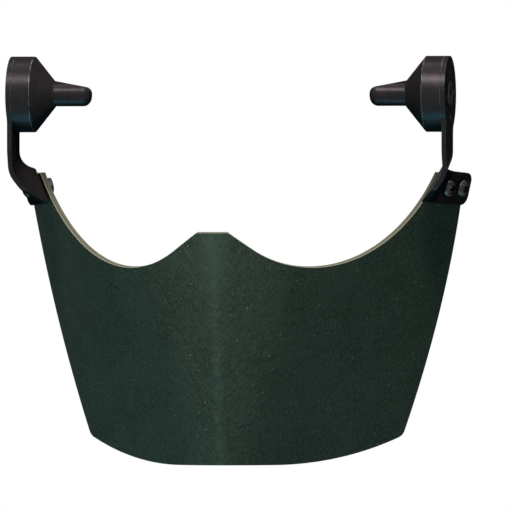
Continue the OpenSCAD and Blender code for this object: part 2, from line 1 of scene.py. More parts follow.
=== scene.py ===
"""Looks of a helmet mandible guard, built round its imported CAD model.

The frame is the CAD's: metres, X to the wearer's left, Y to the back of the head and Z up, with the
origin between the two latch pins. Sizes are written in millimetres and turned to metres where a
mesh is made, and angles are in degrees. The wearer's left half is modelled, and the right half is
its mirror image.
"""

import json
from math import asin, atan, atan2, cos, degrees, pi, radians, sin, sqrt, tan

import bpy
from mathutils import Matrix, Vector

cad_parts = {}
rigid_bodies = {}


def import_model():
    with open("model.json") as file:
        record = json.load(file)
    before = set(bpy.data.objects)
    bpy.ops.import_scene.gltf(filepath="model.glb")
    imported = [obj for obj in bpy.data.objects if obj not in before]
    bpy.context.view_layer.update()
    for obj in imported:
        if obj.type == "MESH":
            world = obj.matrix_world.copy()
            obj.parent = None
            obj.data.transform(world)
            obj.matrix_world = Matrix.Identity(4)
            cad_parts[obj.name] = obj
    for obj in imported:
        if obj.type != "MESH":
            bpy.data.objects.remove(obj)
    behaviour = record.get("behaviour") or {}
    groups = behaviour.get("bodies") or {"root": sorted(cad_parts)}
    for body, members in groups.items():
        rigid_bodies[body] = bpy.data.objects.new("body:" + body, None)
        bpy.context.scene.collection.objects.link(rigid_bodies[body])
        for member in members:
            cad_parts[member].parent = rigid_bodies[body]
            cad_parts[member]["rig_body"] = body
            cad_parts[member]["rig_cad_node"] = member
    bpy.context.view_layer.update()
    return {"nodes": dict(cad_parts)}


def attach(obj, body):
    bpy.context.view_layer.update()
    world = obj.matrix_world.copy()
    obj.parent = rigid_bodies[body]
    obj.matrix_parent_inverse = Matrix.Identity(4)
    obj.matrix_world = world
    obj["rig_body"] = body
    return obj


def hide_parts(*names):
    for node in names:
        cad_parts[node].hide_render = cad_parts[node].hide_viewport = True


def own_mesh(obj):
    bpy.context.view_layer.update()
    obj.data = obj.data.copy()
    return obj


MM = 0.001
SIDES = {"left": 1, "right": -1}

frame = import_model()

# Camera and framing, from the photograph
PICTURE_WIDTH = 336.9
CAMERA_AZIMUTH = 9.6
CAMERA_DISTANCE = 12000.0
PICTURE_CENTRE_RIGHT = 16.7
PICTURE_CENTRE_Z = -106.5
SENSOR_WIDTH = 36.0

# Jaw plate. A pair holds a value at the nose and one at the lower edge. Drops are below the pin axis,
# and bends are in degrees per 100 mm.
PLATE_THICKNESS = 3.6
NOSE_DROP = 91.6
NOSE_HALF_WIDTH = 10.6
CHIN_DROP = 243.9
CHIN_HALF_WIDTH = 31.2
CHIN_RADIUS = 152.0
RIDGE_REACH = 75.2
RIDGE_LEAN = 36.6
RIDGE_SLOPE = (6.4, 14.0)
CHEEK_SLOPE = (44.4, 49.1)
FRONT_GIRTH = (63.5, 30.6)
CHEEK_BEND = (13.3, 0.5)
LEAST_BEND = 0.1
SCOOP_RUN = 19.4
SCOOP_SLOPE = 35.6
SCOOP_PULLS = (42.8, 65.4)
SCOOP_END_SLOPE = 66.6
PLATE_TOP_DROP = 52.0
PLATE_TOP_WIDTH = 13.4
PLATE_FLARE = 3.7
REAR_TAPER = 42.3
REAR_BOW = 3.9
REAR_TOP_RADIUS = 2.6
REAR_BOTTOM_RADIUS = 8.0

# Brackets, hubs and latches
HELMET_WIDTH = 234.4
SHEET = 3.0
EYE_DIAMETER = 50.0
HUB_LENGTH = 26.1
HUB_RIM = 12.7
HUB_NOSE_DIAMETER = 17.2
HUB_LAND = 5.0
CHAMBER_DIAMETER = 24.0
PIN_DIAMETER = 15.8
RUNNING_GAP = 0.08
RIB_WIDTH = 6.6
RAMP_HEIGHT = 8.8
KEY_GAP = 0.1
PLUG_FLANGE = 2.0
PLUG_NECK_DIAMETER = 17.0
PLUG_PROUD = 0.6
TAIL_DIAMETER = 9.3

# Tabs and their screws
TAB_GAP = 0.02
TAB_DROP = 73.3
TAB_SCREW_DROP = PLATE_TOP_DROP + 9.3
TAB_SCREW_EDGE = 8.0
TAB_SCREW_PITCH = 15.6
TAB_SCREW_DIAMETER = 6.0
TAB_SCREW_LENGTH = 12.0
TAB_SCREW_CHAMFER = 0.5
TAB_HEAD_DIAMETER = 11.6
TAB_HEAD_HEIGHT = 3.9
SCREW_HOLE_GAP = 0.3
WASHER_DIAMETER = 12.0
SEAT_GAP = 0.4

# Pan head: a domed profile on a low rim, with a cross recess that narrows as it goes down
HEAD_RIM = 0.2 * TAB_HEAD_HEIGHT
DOME_POWER = 0.65
DOME_STEPS = 14
DOME_END = 88.0
RECESS_LENGTH = 0.66 * TAB_HEAD_DIAMETER
RECESS_WIDTH = 0.19 * TAB_HEAD_DIAMETER
RECESS_DEPTH = 0.55 * TAB_HEAD_HEIGHT
RECESS_TAPER = (0.62, 0.8)
RECESS_TURNS = (10.0, 45.0)
# Faces of a screw head this far below its dome get the painted shade and grime of the recess
RECESS_SHADE_DEPTH = 0.12

# Eased edges: their widths, and the least angle between the faces that meet at one
PLATE_EDGE = 0.35
BRACKET_EDGE = 0.45
HUB_EDGE = 0.6
PLUG_EDGE = 0.15
NUT_EDGE = 0.15
FINE_EDGE = 0.12
PLATE_EDGE_ANGLE = 60.0
TURNED_EDGE_ANGLE = 25.0
EDGE_ANGLE = 40.0

# Places along the pin axis
HUB_FACE_X = HELMET_WIDTH / 2
ARM_X = HUB_FACE_X + HUB_LENGTH
HUB_RIM_X = ARM_X - HUB_RIM
CHAMBER_X = HUB_FACE_X + HUB_LAND
PLUG_INNER_X = ARM_X - PLUG_FLANGE
PLUG_FACE_X = ARM_X + SHEET + PLUG_PROUD

# Mesh work: points this close, in metres, are merged, faces this level are one face, and shading is
# smooth across edges up to an angle
MERGE_DISTANCE = 1e-6
LEVEL_ANGLE = 0.5
SMOOTH_ANGLE = 30.0
COIL_SMOOTH_ANGLE = 60.0
HOLE_SIDES = 64
CUT_MARGIN = 1.0


def deselect():
    """Leaves object mode with nothing selected."""
    if bpy.context.mode != "OBJECT":
        bpy.ops.object.mode_set(mode="OBJECT")
    bpy.ops.object.select_all(action="DESELECT")


def only(piece):
    """Makes a piece the active object and the only one selected."""
    deselect()
    piece.select_set(True)
    bpy.context.view_layer.objects.active = piece


def edit(piece):
    """Opens a piece in edit mode, with everything selected."""
    only(piece)
    bpy.ops.object.mode_set(mode="EDIT")
    bpy.ops.mesh.select_all(action="SELECT")


def new_piece(name):
    """Names the object that an operator has just added, and bakes its place into its mesh."""
    piece = bpy.context.active_object
    piece.name = name
    piece.data.name = name
    bpy.ops.object.transform_apply(location=True, rotation=True, scale=True)
    return piece


def apply_modifier(piece, kind, **settings):
    """Adds a modifier to a piece and applies it."""
    only(piece)
    modifier = piece.modifiers.new(kind.title(), kind)
    for key, value in settings.items():
        setattr(modifier, key, value)
    bpy.ops.object.modifier_apply(modifier=modifier.name)


def ease_edges(piece, width, angle, material=-1, segments=2):
    """Rounds a piece's sharp edges, with the rounded faces in a material slot of their own."""
    apply_modifier(
        piece, "BEVEL", width=width * MM, segments=segments, limit_method="ANGLE",
        angle_limit=radians(angle), material=material, harden_normals=False,
    )


def smooth(piece, angle=SMOOTH_ANGLE):
    """Shades a piece smooth between its sharp edges, and keeps its large faces evenly lit."""
    only(piece)
    bpy.ops.object.shade_smooth_by_angle(angle=radians(angle))
    apply_modifier(piece, "WEIGHTED_NORMAL", keep_sharp=True)


def outward(piece):
    """Merges a closed piece's doubles and turns its faces outwards."""
    edit(piece)
    bpy.ops.mesh.remove_doubles(threshold=MERGE_DISTANCE)
    bpy.ops.mesh.normals_make_consistent(inside=False)
    deselect()


def mirror_mesh(mesh):
    """Mirrors a mesh in the middle plane, with its faces still outwards."""
    mesh.transform(Matrix.Scale(-1, 4, (1, 0, 0)))
    mesh.flip_normals()


def mirrored(piece, name):
    """A copy of a piece on the other side of the middle plane, with its own mesh."""
    twin = piece.copy()
    twin.data = piece.data.copy()
    twin.name = name
    twin.data.name = name
    bpy.context.scene.collection.objects.link(twin)
    mirror_mesh(twin.data)
    return twin


def joined(pieces, name):
    """Joins pieces into the first one and names it."""
    only(pieces[0])
    for piece in pieces[1:]:
        piece.select_set(True)
    bpy.ops.object.join()
    pieces[0].name = name
    pieces[0].data.name = name
    return pieces[0]


def turned(name, profile, closed=True, sides=128):
    """Lathe work about the pin axis: a ring is extruded and resized from one station to the next.

    profile holds (radius, x) stations in millimetres. A closed profile ends on its first station.
    """
    radius, x = profile[0]
    deselect()
    bpy.ops.mesh.primitive_circle_add(
        vertices=sides, radius=radius * MM, fill_type="NOTHING",
        location=(x * MM, 0, 0), rotation=(0, pi / 2, 0),
    )
    piece = new_piece(name)
    edit(piece)
    stations = profile[1:] + ([profile[0]] if closed else [])
    for next_radius, next_x in stations:
        step = ((next_x - x) * MM, 0, 0)
        bpy.ops.mesh.extrude_region_move(TRANSFORM_OT_translate={"value": step})
        factor = next_radius / radius
        centre = (next_x * MM, 0, 0)
        bpy.ops.transform.resize(value=(1, factor, factor), center_override=centre)
        radius, x = next_radius, next_x
    if not closed:
        bpy.ops.mesh.edge_face_add()
    deselect()
    outward(piece)
    return piece


def mix(a, b, t):
    """The value at t of the way from a to b."""
    return a + (b - a) * t


def share(z):
    """How far down the plate a height is: 0 at the nose and 1 at the lower edge."""
    return (-z - NOSE_DROP) / (CHIN_DROP - NOSE_DROP)


def blended(pair, z):
    """A size that changes from the nose to the lower edge, at a height."""
    return mix(pair[0], pair[1], share(z))


def arc_depth(x, radius, slope):
    """Depth of an arc that starts with a slope, at a distance x across it."""
    end = asin(min(1.0, sin(radians(slope)) + x / radius))
    return radius * (cos(radians(slope)) - cos(end))


def outer_point(x, z):
    """Point of the plate's outer face: a rounded front beside the ridge, then a flatter cheek."""
    ridge = RIDGE_LEAN * share(z) - RIDGE_REACH
    start, end = blended(RIDGE_SLOPE, z), blended(CHEEK_SLOPE, z)
    front_radius = blended(FRONT_GIRTH, z) / radians(end - start)
    front_width = front_radius * (sin(radians(end)) - sin(radians(start)))
    across = abs(x)
    if across < front_width:
        return Vector((x, ridge + arc_depth(across, front_radius, start), z))
    bend = max(blended(CHEEK_BEND, z), LEAST_BEND) / 100
    front_depth = arc_depth(front_width, front_radius, start)
    cheek_depth = arc_depth(across - front_width, degrees(1 / bend), end)
    return Vector((x, ridge + front_depth + cheek_depth, z))


def face_normal(x, z, probe=0.01):
    """Outward normal of the plate's outer face, from its slopes across and down."""
    across = (outer_point(x + probe, z) - outer_point(x - probe, z)).y / (2 * probe)
    down = (outer_point(x, z + probe) - outer_point(x, z - probe)).y / (2 * probe)
    return Vector((across, -1, down)).normalized()


# Edges of the plate in front view
REAR_TOP = Vector((ARM_X + PLATE_FLARE, -PLATE_TOP_DROP))
SCOOP_TOP = REAR_TOP - Vector((PLATE_TOP_WIDTH, 0))
NOSE_CORNER = Vector((NOSE_HALF_WIDTH, -NOSE_DROP))
RUN_WAY = Vector((cos(radians(SCOOP_SLOPE)), -sin(radians(SCOOP_SLOPE))))
END_WAY = Vector((cos(radians(SCOOP_END_SLOPE)), sin(radians(SCOOP_END_SLOPE))))
SCOOP_START = NOSE_CORNER + SCOOP_RUN * RUN_WAY
SCOOP_CURVE = (
    SCOOP_START,
    SCOOP_START + SCOOP_PULLS[0] * RUN_WAY,
    SCOOP_TOP - SCOOP_PULLS[1] * END_WAY,
    SCOOP_TOP,
)


def bezier(a, b, c, d, t):
    """Point at t on the cubic curve from a to d, pulled by b and c."""
    return (1 - t) ** 3 * a + 3 * t * (1 - t) ** 2 * b + 3 * t * t * (1 - t) * c + t ** 3 * d


def rounded(a, b, c, radius, steps):
    """Arc that rounds the corner b of the path a, b, c."""
    to_a = (a - b).normalized()
    to_c = (c - b).normalized()
    half = to_a.angle(to_c) / 2
    centre = b + (to_a + to_c).normalized() * radius / sin(half)
    start = b + to_a * radius / tan(half) - centre
    end = b + to_c * radius / tan(half) - centre
    turn = pi - 2 * half
    return [
        centre + (start * sin(turn * (1 - i / steps)) + end * sin(turn * i / steps)) / sin(turn)
        for i in range(steps + 1)
    ]


def chin_z(x):
    """Height of the plate's lower edge: level in the middle, then an arc upwards."""
    if x < CHIN_HALF_WIDTH:
        return -CHIN_DROP
    return CHIN_RADIUS - CHIN_DROP - sqrt(CHIN_RADIUS ** 2 - (x - CHIN_HALF_WIDTH) ** 2)


REAR_BOTTOM_X = REAR_TOP.x - REAR_TAPER
REAR_BOTTOM = Vector((REAR_BOTTOM_X, chin_z(REAR_BOTTOM_X)))
REAR_HEIGHT = REAR_TOP.y - REAR_BOTTOM.y
REAR_END_SLOPE = atan((REAR_TAPER + 4 * REAR_BOW) / REAR_HEIGHT)
CHIN_END_SLOPE = asin((REAR_BOTTOM_X - CHIN_HALF_WIDTH) / CHIN_RADIUS)

# Steps of the plate's mesh along its top edge, and rows down its face
NOSE_STEPS = 8
RUN_STEPS = 10
CURVE_STEPS = 44
TOP_STEPS = 8
CORNER_STEPS = 8
PLATE_ROWS = 72


def plate_edges():
    """The plate's top and bottom edges in front view, outwards from the middle, in equal numbers."""
    rear_way = Vector((sin(REAR_END_SLOPE), cos(REAR_END_SLOPE)))
    chin_way = Vector((cos(CHIN_END_SLOPE), sin(CHIN_END_SLOPE)))
    top_arc = rounded(SCOOP_TOP, REAR_TOP, REAR_TOP - rear_way, REAR_TOP_RADIUS, CORNER_STEPS)
    bottom_arc = rounded(
        REAR_BOTTOM - chin_way, REAR_BOTTOM, REAR_BOTTOM + rear_way, REAR_BOTTOM_RADIUS, CORNER_STEPS
    )
    top = [Vector((NOSE_HALF_WIDTH * i / NOSE_STEPS, -NOSE_DROP)) for i in range(NOSE_STEPS)]
    top += [mix(NOSE_CORNER, SCOOP_START, i / RUN_STEPS) for i in range(RUN_STEPS)]
    top += [bezier(*SCOOP_CURVE, i / CURVE_STEPS) for i in range(CURVE_STEPS)]
    top += [mix(SCOOP_TOP, top_arc[0], i / TOP_STEPS) for i in range(TOP_STEPS)]
    bottom_x = [bottom_arc[0].x * place.x / top_arc[0].x for place in top]
    bottom = [Vector((x, chin_z(x))) for x in bottom_x]
    return top + top_arc, bottom + bottom_arc


def plate_place(top, bottom, column, t):
    """Place in front view, at a column counted from the ridge and at t, 0 above and 1 below."""
    i = abs(column)
    bow = REAR_BOW * (bottom[i].x / bottom[-1].x) ** 2 * 4 * t * (1 - t)
    place = mix(top[i], bottom[i], t) + Vector((bow, 0))
    return place if column >= 0 else Vector((-place.x, place.y))


def rear_x(z):
    """How far out the plate's bowed rear edge is at a height."""
    t = (REAR_TOP.y - z) / REAR_HEIGHT
    return mix(REAR_TOP.x, REAR_BOTTOM_X, t) + REAR_BOW * 4 * t * (1 - t)


# The tab's plane lies on the plate's outer face, along its rear edge. It clears the face by TAB_GAP
# at five places across, on levels 3 mm apart.
TAB_REAR_Y = outer_point(rear_x(-TAB_SCREW_DROP), -TAB_SCREW_DROP).y
TAB_TOP_REAR = outer_point(REAR_TOP.x, REAR_TOP.y)
TAB_LOW_REAR = outer_point(rear_x(-TAB_DROP), -TAB_DROP)
TAB_FRONT = outer_point(SCOOP_TOP.x, -TAB_SCREW_DROP)
TAB_DOWN = TAB_LOW_REAR - TAB_TOP_REAR
TAB_BACK = TAB_TOP_REAR + TAB_LOW_REAR - 2 * TAB_FRONT
TAB_NORMAL = TAB_DOWN.cross(TAB_BACK).normalized()
TAB_REARWARDS = Vector((-TAB_NORMAL.y, TAB_NORMAL.x, 0)).normalized()
TAB_LEVELS = [3 * step - TAB_DROP for step in range(8)]
TAB_PLACE = TAB_GAP + max(
    TAB_NORMAL.dot(outer_point(mix(SCOOP_TOP.x, rear_x(z), quarter / 4), z))
    for z in TAB_LEVELS for quarter in range(5)
)


def on_tab(y, z):
    """Point of the tab's plane."""
    return Vector(((TAB_PLACE - TAB_NORMAL.y * y - TAB_NORMAL.z * z) / TAB_NORMAL.x, y, z))


REAR_SCREW = on_tab(TAB_REAR_Y - TAB_SCREW_EDGE * TAB_REARWARDS.y, -TAB_SCREW_DROP)
TAB_SCREWS_AT = (REAR_SCREW - TAB_SCREW_PITCH * TAB_REARWARDS, REAR_SCREW)
WASHER_PLACE = SEAT_GAP - PLATE_THICKNESS


def framed(place, x_axis, z_axis):
    """Matrix in metres that puts X along x_axis and Z along z_axis, at a place in millimetres."""
    y_axis = z_axis.cross(x_axis)
    turn = Matrix((x_axis, y_axis, z_axis)).transposed().to_4x4()
    return Matrix.Translation(place * MM) @ turn


def at_tab_screws(piece, name, turns):
    """Copies a piece, modelled at the origin with Z outwards, to the tab's two screws."""
    copies = []
    for place, turn in zip(TAB_SCREWS_AT, turns):
        copy = piece.copy()
        copy.data = piece.data.copy()
        bpy.context.scene.collection.objects.link(copy)
        spin = Matrix.Rotation(radians(turn), 4, "Z")
        copy.data.transform(framed(place, TAB_REARWARDS, TAB_NORMAL) @ spin)
        copies.append(copy)
    bpy.data.objects.remove(piece)
    return joined(copies, name)


# Scratches and chips on the plate's front: start and end as X and Z, half width, colour
SCRATCHES = (
    ((-80.5, -123.5), (-71.0, -129.0), 0.45, "#141d18"),
    ((-48.0, -143.5), (-22.0, -130.0), 0.25, "#35423b"),
    ((9.0, -219.5), (25.0, -215.0), 0.4, "#1e242d"),
    ((90.0, -184.5), (113.0, -183.5), 0.3, "#3c4a40"),
    ((92.0, -214.0), (106.0, -210.5), 0.3, "#38443c"),
    ((-104.0, -157.0), (-89.0, -173.0), 0.3, "#35423b"),
    ((23.0, -102.0), (27.0, -104.5), 0.6, "#3a3c42"),
    ((39.5, -117.5), (45.5, -115.5), 0.6, "#222932"),
    ((-6.5, -129.0), (0.5, -137.0), 1.0, "#393b40"),
    ((-2.0, -174.5), (1.0, -173.5), 0.8, "#424f53"),
    ((-6.0, -184.5), (1.5, -187.0), 0.9, "#2c393e"),
)

# How far a scratch wanders from a straight line, and the shares of its length and of its width that
# have its full colour
SCRATCH_WANDER = 3.0
SCRATCH_BODY = 0.7
SCRATCH_CORE = 0.4


def linear(hex_colour):
    """Linear RGBA of an sRGB hex colour."""
    parts = [int(hex_colour[i:i + 2], 16) / 255 for i in (1, 3, 5)]
    return [c / 12.92 if c <= 0.04045 else ((c + 0.055) / 1.055) ** 2.4 for c in parts] + [1.0]


def fill(tree, made, inputs):
    """Links each input of a node to a socket or sets it to a constant, by name or number."""
    for key, value in inputs.items():
        if isinstance(value, bpy.types.NodeSocket):
            tree.links.new(value, made.inputs[key])
        else:
            made.inputs[key].default_value = value


def add(tree, kind, inputs=None, **settings):
    """Adds a node, sets its properties and fills its inputs."""
    made = tree.nodes.new(kind)
    for key, value in settings.items():
        setattr(made, key, value)
    fill(tree, made, inputs or {})
    return made


def new_material(name):
    """A material with only a Principled shader and its output."""
    material = bpy.data.materials.new(name)
    material.use_nodes = True
    tree = material.node_tree
    tree.nodes.clear()
    shader = add(tree, "ShaderNodeBsdfPrincipled")
    add(tree, "ShaderNodeOutputMaterial", {"Surface": shader.outputs[0]})
    return material, tree, shader


def object_place(tree):
    """Place on the piece in metres, from the frame's origin."""
    return add(tree, "ShaderNodeTexCoord").outputs["Object"]


def ramp(tree, value, low, high):
    """Soft step from 0 to 1 as a value goes from low to high."""
    inputs = {"Value": value, "From Min": low, "From Max": high}
    return add(tree, "ShaderNodeMapRange", inputs, interpolation_type="SMOOTHSTEP").outputs[0]


def spread(tree, value, low, high, from_low=0.0, from_high=1.0):
    """A value that goes evenly from low to high as another goes from from_low to from_high."""
    inputs = {"Value": value, "From Min": from_low, "From Max": from_high}
    inputs.update({"To Min": low, "To Max": high})
    return add(tree, "ShaderNodeMapRange", inputs).outputs[0]


def blend_colours(tree, share_of_b, a, b):
    """Colour between a and b. Each is a socket or a constant."""
    inputs = {"Factor": share_of_b, 6: a, 7: b}
    return add(tree, "ShaderNodeMix", inputs, data_type="RGBA").outputs[2]


def noise(tree, place, grain_mm, detail, roughness=0.55):
    """Noise whose patches are about grain_mm across."""
    scale = 1 / (grain_mm * MM)
    inputs = {"Vector": place, "Scale": scale, "Detail": detail, "Roughness": roughness}
    return add(tree, "ShaderNodeTexNoise", inputs).outputs["Fac"]


def math(tree, operation, a, b=0.0, c=0.0):
    """Result of a calculation with up to three values."""
    return add(tree, "ShaderNodeMath", {0: a, 1: b, 2: c}, operation=operation).outputs[0]


def times(tree, a, b):
    return math(tree, "MULTIPLY", a, b)


def relief(tree, height, strength, depth_mm):
    """Normal of a surface whose height noise stands up to depth_mm proud."""
    inputs = {"Height": height, "Strength": strength, "Distance": depth_mm * MM}
    return add(tree, "ShaderNodeBump", inputs).outputs[0]


def ply_depth(tree):
    """0 on the plate's outer face and 1 on its inner face, stored in its mesh."""
    return add(tree, "ShaderNodeAttribute", attribute_name="ply_depth").outputs["Fac"]


def scratch(tree, place, wobble, start, end, width):
    """Mask of a scratch on the plate's front, from start to end as X and Z in millimetres."""
    middle = [(p + q) / 2 * MM for p, q in zip(start, end)]
    run = [(q - p) * MM for p, q in zip(start, end)]
    half = sqrt(run[0] ** 2 + run[1] ** 2) / 2
    inputs = {"Vector": place, "Location": (middle[0], 0, middle[1])}
    inputs["Rotation"] = (0, -atan2(run[1], run[0]), 0)
    turned_place = add(tree, "ShaderNodeMapping", inputs, vector_type="TEXTURE").outputs[0]
    along = add(tree, "ShaderNodeSeparateXYZ", {0: turned_place}).outputs
    inside = ramp(tree, math(tree, "ABSOLUTE", along["X"]), half, half * SCRATCH_BODY)
    bent = math(tree, "MULTIPLY_ADD", wobble, SCRATCH_WANDER * MM, along["Z"])
    offset = math(tree, "ABSOLUTE", math(tree, "SUBTRACT", bent, SCRATCH_WANDER / 2 * MM))
    line = ramp(tree, offset, width * MM, width * MM * SCRATCH_CORE)
    return times(tree, inside, line)


def rub_noise(tree, beside, axes):
    """Noise drawn out into slanting strokes, on both sides alike."""
    slant = -50
    stretch = 9
    halves = add(tree, "ShaderNodeCombineXYZ", {"X": beside, "Y": axes["Y"], "Z": axes["Z"]})
    inputs = {"Vector": halves.outputs[0], "Rotation": (0, radians(slant), 0)}
    inputs["Scale"] = (stretch, 1, 1)
    along = add(tree, "ShaderNodeMapping", inputs, vector_type="TEXTURE").outputs[0]
    return noise(tree, along, grain_mm=0.9, detail=3, roughness=0.6)


def green_paint():
    """Satin lacquer sprayed over laminate: dark green with a fine grain, a painted highlight along
    the ridge that is partly rubbed paint, a painted sheen on the nose, slanting rub marks, pale
    specks, and scratches and chips in front.
    """
    material, tree, shader = new_material("green_satin_lacquer")
    place = object_place(tree)
    drawn_down = add(tree, "ShaderNodeMapping", {"Vector": place, "Scale": (1.0, 1.0, 0.45)})
    clouds = noise(tree, place, grain_mm=34, detail=2)
    grain = noise(tree, drawn_down.outputs[0], grain_mm=0.8, detail=4, roughness=0.7)
    patches = noise(tree, place, grain_mm=5, detail=3, roughness=0.65)
    wobble = noise(tree, place, grain_mm=14, detail=2)
    axes = add(tree, "ShaderNodeSeparateXYZ", {0: place}).outputs
    beside = math(tree, "ABSOLUTE", axes["X"])

    cloudy = ramp(tree, clouds, 0.35, 0.65)
    # Painted highlight along the ridge, partly rubbed paint too, broken into patches
    ridge_highlight_band = ramp(tree, beside, 5.2 * MM, 0.4 * MM)
    ridge = times(tree, ridge_highlight_band, ramp(tree, patches, 0.25, 0.75))
    # Painted sheen on the nose: lighter beside the ridge and towards the top
    sheen_beside_ridge = ramp(tree, beside, 15 * MM, 2 * MM)
    nose = times(tree, sheen_beside_ridge, ramp(tree, axes["Z"], -150 * MM, -90 * MM))
    rubs = rub_noise(tree, beside, axes)
    colour = blend_colours(tree, cloudy, linear("#293129"), linear("#2f372f"))
    for mask, hue in (
        # painted highlight along the ridge, partly rubbed paint
        (times(tree, ridge, 0.55), "#48574b"),
        # painted sheen on the nose
        (times(tree, nose, 0.4), "#41544a"),
        (ramp(tree, grain, 0.42, 0.7), "#414c41"),
        (times(tree, ramp(tree, rubs, 0.52, 0.72), 0.42), "#475347"),
        (times(tree, ramp(tree, rubs, 0.48, 0.28), 0.42), "#1b221c"),
    ):
        colour = blend_colours(tree, mask, colour, linear(hue))

    speck_pitch = 4.6 * MM
    specks = add(tree, "ShaderNodeTexVoronoi", {"Vector": place, "Scale": 1 / speck_pitch})
    speck = ramp(tree, specks.outputs["Distance"], 0.12, 0.05)
    dust = times(tree, speck, ramp(tree, patches, 0.45, 0.6))
    colour = blend_colours(tree, dust, colour, linear("#7b8472"))
    outside = ramp(tree, ply_depth(tree), 0.6, 0.4)
    broken = times(tree, outside, ramp(tree, patches, 0.3, 0.5))
    for start, end, width, hue in SCRATCHES:
        mask = times(tree, scratch(tree, place, wobble, start, end, width), broken)
        colour = blend_colours(tree, mask, colour, linear(hue))
    fill(tree, shader, {
        "Base Color": colour,
        "Roughness": 0.6,
        "Specular IOR Level": 0.006,
        "Normal": relief(tree, grain, 0.5, 0.2),
    })
    return material


def cut_laminate():
    """Bare cut edge of an aramid laminate: a pale outer ply, a dark glue line, olive inner plies."""
    material, tree, shader = new_material("cut_aramid_laminate")
    place = object_place(tree)
    wobble = noise(tree, place, grain_mm=3, detail=3)
    fibres = noise(tree, place, grain_mm=0.6, detail=3, roughness=0.7)
    wander = 0.16
    wavy = math(tree, "MULTIPLY_ADD", wobble, wander, ply_depth(tree))
    level = math(tree, "SUBTRACT", wavy, wander / 2)
    glue, olive = linear("#33332e"), linear("#4b4f40")
    colour = linear("#5f6152")
    for start, end, ply in (
        (0.26, 0.36, glue),
        (0.42, 0.54, olive),
        (0.66, 0.72, linear("#3f4033")),
        (0.76, 0.84, olive),
    ):
        colour = blend_colours(tree, ramp(tree, level, start, end), colour, ply)
    stray_fibres = times(tree, ramp(tree, fibres, 0.5, 0.7), 0.5)
    colour = blend_colours(tree, stray_fibres, colour, glue)
    fill(tree, shader, {
        "Base Color": colour,
        "Roughness": 0.85,
        "Specular IOR Level": 0.1,
        "Normal": relief(tree, fibres, 0.4, 0.2),
    })
    return material


def blackened_steel():
    """Steel blackened in hot salts: a thin brown-black oxide over metal, with smoke marks in it."""
    material, tree, shader = new_material("blackened_steel")
    place = object_place(tree)
    smoke = noise(tree, place, grain_mm=12, detail=4, roughness=0.6)
    grain = noise(tree, place, grain_mm=0.6, detail=4, roughness=0.65)
    smoky, grainy = ramp(tree, smoke, 0.4, 0.68), ramp(tree, grain, 0.45, 0.75)
    colour = blend_colours(tree, smoky, linear("#1d1e20"), linear("#242121"))
    fill(tree, shader, {
        "Base Color": blend_colours(tree, grainy, colour, linear("#322f2f")),
        "Metallic": 0.5,
        "Specular IOR Level": 0.0,
        "Specular Tint": linear("#383838"),
        "Roughness": spread(tree, grain, 0.28, 0.42, 0.3, 0.7),
        "Normal": relief(tree, grain, 0.45, 0.06),
    })
    return material


def rubbed_edge():
    """Blackened steel rubbed nearly bright along its edges."""
    material, tree, shader = new_material("rubbed_steel_edge")
    wear = noise(tree, object_place(tree), grain_mm=3, detail=4, roughness=0.65)
    bright = ramp(tree, wear, 0.35, 0.6)
    fill(tree, shader, {
        "Base Color": blend_colours(tree, bright, linear("#26292b"), linear("#484d50")),
        "Metallic": 0.6,
        "Specular IOR Level": 0.0,
        "Specular Tint": linear("#808080"),
        "Roughness": 0.38,
    })
    return material


def worn_steel(name, clean, dirty):
    """Plain plated steel that has gone dull, with darker dirt in patches."""
    material, tree, shader = new_material(name)
    dirt = noise(tree, object_place(tree), grain_mm=1.8, detail=4, roughness=0.65)
    dark = ramp(tree, dirt, 0.4, 0.62)
    fill(tree, shader, {
        "Base Color": blend_colours(tree, dark, linear(clean), linear(dirty)),
        "Metallic": 1.0,
        "Specular Tint": linear("#606060"),
        "Roughness": 0.37,
    })
    return material


def recess_shade_and_grime():
    """Painted shade in a recess, with old grease and dust packed in it: matt and nearly black."""
    material, tree, shader = new_material("recess_shade_and_grime")
    fill(tree, shader, {
        "Base Color": linear("#0b0b0b"),
        "Roughness": 0.9,
        "Specular IOR Level": 0.05,
    })
    return material


PAINT = green_paint()
PLIES = cut_laminate()
BLACK = blackened_steel()
RUBBED = rubbed_edge()
DULL = worn_steel("dull_plated_steel", "#434342", "#272525")
OILED = worn_steel("oil_darkened_steel", "#383736", "#242221")
# Painted shade and grime for the screw recesses
RECESS_SHADE_AND_GRIME = recess_shade_and_grime()


def dress(piece, *materials):
    """Gives a piece its material slots, in order."""
    piece.data.materials.clear()
    for material in materials:
        piece.data.materials.append(material)


def settle(piece, body, node):
    """Rides a piece on its body, and hides the CAD node it stands in for."""
    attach(piece, body)
    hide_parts(node)


def hole_cutter(place, below, above, diameter):
    """A closed cylinder along the tab's normal, to cut a hole with."""
    bpy.ops.mesh.primitive_cylinder_add(
        vertices=HOLE_SIDES, radius=diameter / 2 * MM, depth=(above - below) * MM,
        location=(0, 0, (above + below) / 2 * MM),
    )
    cutter = new_piece("cutter")
    cutter.data.transform(framed(place, TAB_REARWARDS, TAB_NORMAL))
    return cutter


def cut_with(piece, cutter):
    """Cuts a cutter's shape out of a piece, and removes the cutter."""
    apply_modifier(piece, "BOOLEAN", object=cutter, operation="DIFFERENCE", solver="EXACT")
    bpy.data.objects.remove(cutter)


def bent_grid(name):
    """A grid with its rows and columns laid on the plate's outer face, facing outwards."""
    top, bottom = plate_edges()
    columns = len(top) - 1
    deselect()
    bpy.ops.mesh.primitive_grid_add(x_subdivisions=2 * columns, y_subdivisions=PLATE_ROWS, size=1)
    piece = new_piece(name)
    for vertex in piece.data.vertices:
        row, step = divmod(vertex.index, 2 * columns + 1)
        place = plate_place(top, bottom, step - columns, 1 - row / PLATE_ROWS)
        vertex.co = outer_point(place.x, place.y) * MM
    edit(piece)
    bpy.ops.mesh.normals_make_consistent(inside=False)
    deselect()
    if sum(face.normal.y * face.area for face in piece.data.polygons) > 0:
        piece.data.flip_normals()
    return piece


